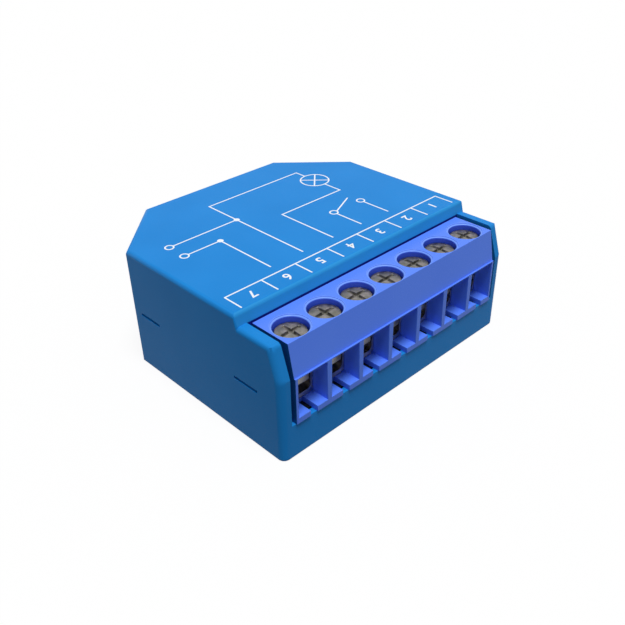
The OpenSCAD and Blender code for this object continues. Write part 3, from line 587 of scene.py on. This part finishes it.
def screwHead(shape, radius, top):
    # A square grid bent into a disc: x = u sqrt(1 - v v / 2), y = v sqrt(1 - u u / 2). Its height is a crown
    # less the cross recess, which is cut along the lines of u and v so that its edges stay crisp, and whose
    # floor rises towards the ends of the arms. Rings then carry the disc's edge over a rounded rim, down the
    # side and in under the head.
    edges = []
    for place in (shape["arm"], shape["reach"]):
        edges += [place - shape["wall"] * s for s in shape["wallLines"]]
    lines = np.concatenate([np.linspace(-1, 1, shape["lines"]), edges, np.negative(edges)])
    lines = np.unique(np.round(lines, 4))
    u, v = np.meshgrid(lines, lines, indexing="ij")
    flat = radius - shape["rim"]
    x, y = flat * u * np.sqrt(1 - v * v / 2), flat * v * np.sqrt(1 - u * u / 2)
    away = np.hypot(x, y) / flat
    deep = shape["deep"] * np.clip((shape["bowl"] - away) / shape["bowlWall"], 0, 1)
    for along, across in ((np.abs(u), np.abs(v)), (np.abs(v), np.abs(u))):
        floor = shape["deep"] + (shape["shallow"] - shape["deep"]) * along / shape["reach"]
        side = np.clip((shape["arm"] - across) / shape["wall"], 0, 1)
        end = np.clip((shape["reach"] - along) / shape["wall"], 0, 1)
        deep = np.maximum(deep, floor * side * end)
    z = top - shape["crown"] * away ** 2 - deep
    n = len(lines)
    index = np.arange(n * n).reshape(n, n)
    rim = np.concatenate([index[:-1, 0], index[-1, :-1], index[:0:-1, -1], index[0, :0:-1]])
    angle = np.arctan2(y.ravel()[rim], x.ravel()[rim])
    turn = np.linspace(0, math.pi / 2, shape["rimRings"] + 1)[1:]
    ringR = np.concatenate([flat + shape["rim"] * np.sin(turn),
                            radius * np.array([1, shape["under"], shape["hub"]])])
    ringZ = np.concatenate([top - shape["crown"] - shape["rim"] * (1 - np.cos(turn)),
                            top - shape["head"] + np.array([shape["chamfer"], 0, 0])])
    rings = np.stack([ringR[:, None] * np.cos(angle), ringR[:, None] * np.sin(angle),
                      np.repeat(ringZ[:, None], len(angle), 1)], -1).reshape(-1, 3)
    verts = np.concatenate([np.stack([x, y, z], -1).reshape(-1, 3), rings, [[0, 0, ringZ[-1]]]])
    count, start = len(rim), n * n
    j = np.arange(count)
    k = np.roll(j, -1)
    last = start + (len(ringR) - 1) * count
    faces = list(gridFaces(n, n))
    faces += list(np.stack([rim, rim[k], start + k, start + j], 1)[:, ::-1])
    faces += list(gridFaces(len(ringR), count, start, True)[:, ::-1])
    faces += list(np.stack([last + j, last + k, np.full(count, len(verts) - 1)], 1)[:, ::-1])
    # Painted shade: the recess is painted darker with its depth.
    bright = np.ones(len(verts))
    bright[:n * n] = 1 - (1 - shape["recessShadeLevel"]) * smoothStep(deep.ravel() / shape["recessShadeDeep"])
    return verts, faces, bright


def screwShank(shape, low, high):
    # A turned rod whose radius rises and falls with height / pitch - angle / full turn, which is a right-hand
    # thread. The thread fades out at the tip and under the head, and a point closes each end.
    rows, cols = int((high - low) / shape["pitch"] * shape["turnRows"]), shape["around"]
    z = np.linspace(low, high, rows)[:, None]
    angle = np.linspace(0, 2 * math.pi, cols, endpoint=False)[None, :]
    wave = np.abs(((z / shape["pitch"] - angle / (2 * math.pi)) % 1) * 2 - 1)
    fade = smoothStep((z - low) / shape["tipFade"]) * smoothStep((high - z) / shape["headFade"])
    r = shape["shank"] - shape["thread"] * (1 - fade * (1 - wave))
    verts = np.stack([r * np.cos(angle), r * np.sin(angle), z + 0 * angle], -1).reshape(-1, 3)
    ends = [[0, 0, low], [0, 0, high]]
    j = np.arange(cols)
    k = (j + 1) % cols
    last, tip = (rows - 1) * cols, np.full(cols, rows * cols)
    faces = list(gridFaces(rows, cols, 0, True))
    faces += list(np.stack([k, j, tip], 1)) + list(np.stack([last + j, last + k, tip + 1], 1))
    return np.concatenate([verts, ends]), faces


def makeScrews(shape):
    for i in range(1, poleCount + 1):
        node = "terminal_screw_%d" % i
        low, high, middle = boxOf(node)
        top = round(high[2], 1)
        head, headFaces, bright = screwHead(shape, (high[0] - low[0]) / 2 - shape["ease"], top)
        shank, shankFaces = screwShank(shape, low[2], top - shape["head"] + shape["bury"])
        faces = headFaces + [f + len(head) for f in shankFaces]
        verts = (np.concatenate([head, shank]) + [middle[0], middle[1], 0]) * mm
        piece = meshPiece("screw_%d_zinc" % i, verts, faces, finish["screw_steel"], bodyOf[node],
                          shape["smooth"])
        # The painted shade of the recess is carried as a colour on the points.
        paintedLight = np.ones((len(verts), 4))
        paintedLight[:len(bright), :3] = bright[:, None]
        layer = piece.data.color_attributes.new("paintedRecessShade", "FLOAT_COLOR", "POINT")
        layer.data.foreach_set("color", paintedLight.ravel())
        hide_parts(node)


makeScrews(screwShape)
print("screws:", poleCount)


roofPrint = {
    "thick": 0.012,       # height of the ink over the roof
    "lift": 0.0006,       # each stroke lies this much over the one before, so that crossings stay clean
    "line": 0.20,         # width of the frame round the numbers
    "frameY": -7.8,       # place of the frame's long line
    "frameX": 18.84,      # its half length
    "tickY": -10.7,       # foot of the short lines between the numbers
    "numberY": -9.35,     # middle of the numbers
    "numberSize": 1.45,   # height of the numbers
    "faceSize": 1.37,     # size of the built-in face for a number of height 1
    "bold": 0.03,         # growth of the numbers' outlines
    "arcStep": 12,        # degrees from point to point round an arc
    "capSteps": 6,        # steps round the end of a stroke
    "mitre": 0.3,         # least cosine at a bend, which limits how far its corner sticks out
    "smooth": 30,         # degrees over which the shading breaks
}


def strokeShape(points, width, spec, closed=False):
    # A line of even width along a path: each point is moved half the width to both sides, square to the
    # bisector of the path there, and half circles round off the open ends.
    p = np.asarray(points, float)
    ahead = np.roll(p, -1, 0) - p
    ahead = ahead / np.maximum(np.linalg.norm(ahead, axis=1, keepdims=True), 1e-9)
    behind = np.roll(ahead, 1, 0)
    if not closed:
        ahead[-1], behind[0] = behind[-1], ahead[0]
    both = ahead + behind
    normal = np.stack([-both[:, 1], both[:, 0]], 1)
    square = np.stack([-ahead[:, 1], ahead[:, 0]], 1)
    normal /= np.maximum(np.sum(normal * square, 1, keepdims=True), spec["mitre"])
    left, right = p + normal * width / 2, p - normal * width / 2
    if closed:
        return left, right
    turn = np.linspace(0, math.pi, spec["capSteps"] + 1)[1:-1, None]

    def cap(middle, along):
        return middle + width / 2 * (np.cos(turn) * [-along[1], along[0]] + np.sin(turn) * along)

    return np.concatenate([left, cap(p[-1], ahead[-1]), right[::-1], cap(p[0], -behind[0])]), None


def loopBand(one, other):
    # Quads between two closed loops of point numbers
    return list(np.stack([one, np.roll(one, -1), np.roll(other, -1), other], 1))


def thinPrint(name, outlines, body, roof, spec):
    # Each outline becomes a thin slab on the roof: the outline above, the same outline below, and a wall
    # between. An outline with a hole has a second wall round the hole.
    verts, faces, first = [], [], 0
    for step, (outer, inner) in enumerate(outlines):
        n = len(outer)
        flat = outer if inner is None else np.concatenate([outer, inner])
        for height in (spec["thick"] + step * spec["lift"], -spec["thick"]):
            verts.append(np.c_[flat, np.full(len(flat), roof + height)])
        above = first + np.arange(n)
        below = above + len(flat)
        faces += loopBand(above, below)
        if inner is None:
            faces += [list(above[::-1]), list(below)]
        else:
            faces += loopBand(above + n, above) + loopBand(below, below + n) + loopBand(below + n, above + n)
        first += 2 * len(flat)
    piece = meshPiece(name, np.concatenate(verts) * mm, faces, inkWhite, body, spec["smooth"])
    part = bmesh.new()
    part.from_mesh(piece.data)
    bmesh.ops.recalc_face_normals(part, faces=part.faces)
    part.to_mesh(piece.data)
    part.free()


def ringPoints(x, y, r, step):
    # Points round a full circle, a step in degrees apart
    angle = np.radians(np.linspace(0, 360, int(360 / step) + 1)[:-1])
    return np.stack([x + r * np.cos(angle), y + r * np.sin(angle)], 1)


def printedFrame(spec):
    # The long line, and a short line at each end and between the numbers. The places of the numbers follow.
    half = spec["frameX"]
    ticks = np.linspace(-half, half, poleCount + 1)
    strokes = [[(-half, spec["frameY"]), (half, spec["frameY"])]]
    strokes += [[(x, spec["frameY"]), (x, spec["tickY"])] for x in ticks]
    return [strokeShape(s, spec["line"], spec) for s in strokes], (ticks[:-1] + ticks[1:]) / 2


def printedNumbers(spec, places, body, roof):
    # Numbers from the built-in face, turned to be read from the back of the case
    for i, x in enumerate(places):
        number = str(len(places) - i)
        curve = bpy.data.curves.new("number", "FONT")
        curve.body = number
        curve.size = spec["numberSize"] * spec["faceSize"]
        curve.align_x, curve.align_y = "CENTER", "CENTER"
        curve.extrude = spec["thick"]
        curve.offset = spec["bold"]
        holder = addObject("number", curve)
        bpy.context.view_layer.update()
        made = holder.evaluated_get(bpy.context.evaluated_depsgraph_get()).to_mesh()
        flat = np.zeros(len(made.vertices) * 3)
        made.vertices.foreach_get("co", flat)
        flat = flat.reshape(-1, 3)
        polygons = [list(p.vertices) for p in made.polygons]
        verts = np.stack([x - flat[:, 0], spec["numberY"] - flat[:, 1], roof + flat[:, 2]], 1) * mm
        bpy.data.objects.remove(holder)
        bpy.data.curves.remove(curve)
        meshPiece("print_number_" + number, verts, polygons, inkWhite, body, spec["smooth"])


sketchPlan = {
    "line": 0.20,          # width of the lines
    "column": 5.3,         # spacing of the lines that run down to the numbers
    "foot": -6.2,          # their lower end
    "supplyX": -16.2,      # the two open ends of the supply
    "supplyY": (3.4, 6.6),
    "backY": 12.6,         # the line behind the lamp
    "lamp": (11.2, 8.6),
    "lampR": 2.1,
    "switchY": -1.2,       # the switch's two posts
    "switchTip": (9.9, 0.7),
    "postR": 0.55,         # radius of open ends and posts
    "dotR": 0.42,          # radius of a joint
}


def printedSketch(plan, spec):
    # A plain wiring sketch: supply lines, a lamp shown as a crossed ring, and a switch shown as an open arm
    column, foot, post = plan["column"], plan["foot"], plan["postR"]
    supplyX, (nearY, farY), switchY = plan["supplyX"], plan["supplyY"], plan["switchY"]
    (lampX, lampY), lampR = plan["lamp"], plan["lampR"]
    d = lampR / math.sqrt(2)
    rings = [(lampX, lampY, lampR), (supplyX, nearY, post), (supplyX, farY, post), (column, switchY, post),
             (2 * column, switchY, post)]
    strokes = [
        [(lampX - d, lampY - d), (lampX + d, lampY + d)],
        [(lampX - d, lampY + d), (lampX + d, lampY - d)],
        [(supplyX + post, nearY), (-2 * column, nearY), (-2 * column, foot)],
        [(supplyX + post, farY), (-column, farY), (-column, foot)],
        [(-column, farY), (-column, plan["backY"]), (lampX, plan["backY"]), (lampX, lampY + lampR)],
        [(0, foot), (0, nearY), (lampX, nearY), (lampX, lampY - lampR)],
        [(column, foot), (column, switchY - post)],
        [(2 * column, foot), (2 * column, switchY - post)],
        [(column + post, switchY), plan["switchTip"]],
    ]
    dots = [(-2 * column, nearY), (-column, farY)]
    step = spec["arcStep"]
    shapes = [strokeShape(s, plan["line"], spec) for s in strokes]
    shapes += [strokeShape(ringPoints(x, y, r, step), plan["line"], spec, True) for x, y, r in rings]
    shapes += [(ringPoints(x, y, plan["dotR"], 2 * step), None) for x, y in dots]
    return shapes


roofTop = cadBox[1].z / mm
frameStrokes, numberX = printedFrame(roofPrint)
thinPrint("print_frame", frameStrokes, bodyOf["upper_case"], roofTop, roofPrint)
printedNumbers(roofPrint, numberX, bodyOf["upper_case"], roofTop)
thinPrint("print_sketch", printedSketch(sketchPlan, roofPrint), bodyOf["upper_case"], roofTop, roofPrint)
print("print: frame, numbers and sketch")


# Angles in degrees, lengths in millimetres
shot = {"azimuth": -43.4244, "elevation": 32.8918, "roll": -1.3025, "distance": 97.9774,
        "aim": (-4.8519, -7.2522, 8.2880), "lens": 43.6984, "sensor": 36, "clip": (5, 10000)}


def placeCamera(spec):
    # back points from the aim to the camera; right and up are turned by the roll.
    a, e, r = (math.radians(spec[k]) for k in ("azimuth", "elevation", "roll"))
    back = Vector((math.sin(a) * math.cos(e), -math.cos(a) * math.cos(e), math.sin(e)))
    right = Vector((0, 0, 1)).cross(back).normalized()
    up = back.cross(right)
    right, up = right * math.cos(r) + up * math.sin(r), up * math.cos(r) - right * math.sin(r)
    data = bpy.data.cameras.new("shot")
    data.sensor_width = spec["sensor"]
    data.lens = spec["lens"]
    data.clip_start, data.clip_end = (c * mm for c in spec["clip"])
    camera = addObject("shot", data)
    turn = Matrix((right, up, back)).transposed().to_4x4()
    place = (Vector(spec["aim"]) + back * spec["distance"]) * mm
    camera.matrix_world = Matrix.Translation(place) @ turn
    bpy.context.scene.camera = camera


studio = {
    "floorHalf": 1500,   # half the floor's width
    "floorDrop": 0.02,   # the floor lies this far below the part
    "paper": 0.95,       # grey of the floor where its shadow shows
    "shade": 0.12,       # share of that shadow in what the camera sees
    "bounce": 0.13,      # grey of the floor to all other light
    "sky": 0.262,        # light from all round
    "sun": 2.52,
    "sunAngle": 20,      # width of the sun in degrees
    "sunFront": 13,      # degrees by which it leans to the front
    "sunLeft": 4,        # and to the left
}


def seenDirectly(tree):
    # 1 for rays from the camera and for mirrored or refracted ones, else 0
    path = tree.nodes.new("ShaderNodeLightPath")
    seen = path.outputs["Is Camera Ray"]
    for kind in ("Is Glossy Ray", "Is Transmission Ray"):
        larger = tree.nodes.new("ShaderNodeMath")
        larger.operation = "MAXIMUM"
        tree.links.new(seen, larger.inputs[0])
        tree.links.new(path.outputs[kind], larger.inputs[1])
        seen = larger.outputs[0]
    return seen


def mixShaders(tree, one, other):
    mixed = tree.nodes.new("ShaderNodeMixShader")
    tree.links.new(one.outputs[0], mixed.inputs[1])
    tree.links.new(other.outputs[0], mixed.inputs[2])
    return mixed


def showDirectly(tree, unseen, seen, outputKind):
    # One shader where the surface is seen directly, another for the light that it gives
    both = mixShaders(tree, unseen, seen)
    tree.links.new(seenDirectly(tree), both.inputs["Fac"])
    tree.links.new(both.outputs[0], tree.nodes.new(outputKind).inputs["Surface"])


def greyShader(tree, kind, grey):
    shader = tree.nodes.new(kind)
    shader.inputs["Color"].default_value = (grey, grey, grey, 1)
    return shader


def floorPaper(spec):
    # White paper: seen directly it is white less a share of the shadow on it, and to other light pale grey.
    material = bpy.data.materials.new("floorPaper")
    material.use_nodes = True
    tree = material.node_tree
    tree.nodes.clear()
    pale = greyShader(tree, "ShaderNodeBsdfDiffuse", spec["bounce"])
    bright = greyShader(tree, "ShaderNodeBsdfDiffuse", spec["paper"])
    glow = greyShader(tree, "ShaderNodeEmission", 1)
    glow.inputs["Strength"].default_value = 1
    white = mixShaders(tree, glow, bright)
    white.inputs["Fac"].default_value = spec["shade"]
    showDirectly(tree, pale, white, "ShaderNodeOutputMaterial")
    return material


def layFloor(spec):
    half, z = spec["floorHalf"] * mm, -spec["floorDrop"] * mm
    mesh = bpy.data.meshes.new("floor")
    corners = [(-half, -half, z), (half, -half, z), (half, half, z), (-half, half, z)]
    mesh.from_pydata(corners, [], [(0, 1, 2, 3)])
    mesh.materials.append(floorPaper(spec))
    floor = addObject("floor", mesh)


def lightStudio(spec):
    # An even sky that is white where it is seen directly, and a broad sun nearly overhead
    world = bpy.data.worlds.new("studio")
    bpy.context.scene.world = world
    world.use_nodes = True
    tree = world.node_tree
    tree.nodes.clear()
    soft, white = (greyShader(tree, "ShaderNodeBackground", 1) for side in range(2))
    soft.inputs["Strength"].default_value = spec["sky"]
    white.inputs["Strength"].default_value = 1
    showDirectly(tree, soft, white, "ShaderNodeOutputWorld")
    data = bpy.data.lights.new("overhead", "SUN")
    data.energy = spec["sun"]
    data.angle = math.radians(spec["sunAngle"])
    sun = addObject("overhead", data)
    sun.rotation_euler = (math.radians(spec["sunFront"]), -math.radians(spec["sunLeft"]), 0)


placeCamera(shot)
layFloor(studio)
lightStudio(studio)
bpy.context.scene.view_settings.view_transform = "Standard"
print("camera, floor and light")
